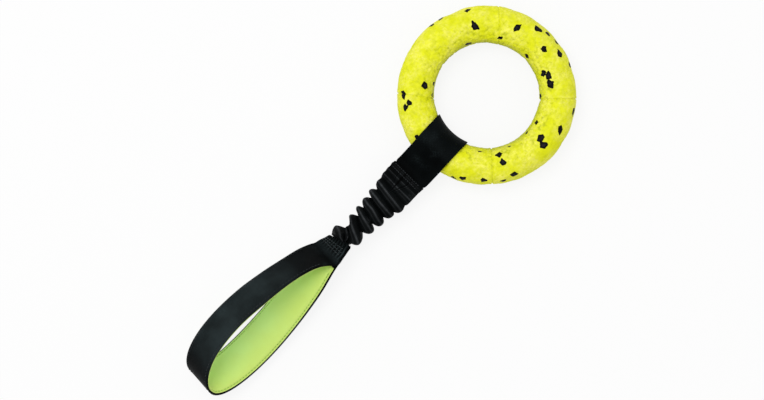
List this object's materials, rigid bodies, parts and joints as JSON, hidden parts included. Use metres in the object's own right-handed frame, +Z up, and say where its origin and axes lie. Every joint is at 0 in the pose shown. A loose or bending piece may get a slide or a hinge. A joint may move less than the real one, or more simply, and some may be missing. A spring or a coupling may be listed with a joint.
{
  "type": "dog tug toy",
  "caption": "Foam-rubber ring held in a webbing loop, joined by a gathered bungee sleeve to a lined webbing hand loop.",
  "frame": {"origin": "middle of the footprint of the toy as it lies, on the surface it lies on", "axes": "+X from the hand loop to the ring along the long axis, +Z up through the ring's hole"},
  "size_m": [0.4717, 0.1708, 0.0634],
  "materials": {
    "ring_foam": "satin",
    "webbing": "satin",
    "lining": "matte",
    "thread": "matte",
    "elastic": "satin"
  },
  "bodies": {
    "bungee": {"neck_webbing": "webbing", "neck_tack_upper": "thread", "neck_tack_lower": "thread", "gathered_sleeve": "webbing", "bungee_cord_left": "elastic", "bungee_cord_right": "elastic"},
    "ring_loop": {"ring_loop": "webbing"},
    "ring": {"ring": "ring_foam"},
    "tab": {"tab_webbing": "webbing", "tab_tack_upper": "thread", "tab_tack_lower": "thread"},
    "handle": {"handle_webbing": "webbing", "handle_lining": "lining", "handle_seam_left": "thread", "handle_seam_right": "thread"}
  },
  "joints": [
    {"name": "loop_fold", "type": "hinge", "parent": "bungee", "child": "ring_loop", "pos_m": [0.04913, 0, 0.0202], "axis": [0, -1, 0], "range_deg": [-90, 90]},
    {"name": "ring_turn", "type": "hinge", "parent": "ring_loop", "child": "ring", "pos_m": [0.15038, 0, 0.0202], "axis": [0, 0, 1], "continuous": true},
    {"name": "bungee_stretch", "type": "slide", "parent": "bungee", "child": "tab", "axis": [-1, 0, 0], "range_m": [0, 0.04], "stiffness_N_per_m": 250, "deforming": ["gathered_sleeve", "bungee_cord_left", "bungee_cord_right"]},
    {"name": "handle_swing", "type": "hinge", "parent": "tab", "child": "handle", "pos_m": [-0.06477, 0, 0.0202], "axis": [0, 0.7848, -0.6198], "range_deg": [-75, 75]}
  ]
}
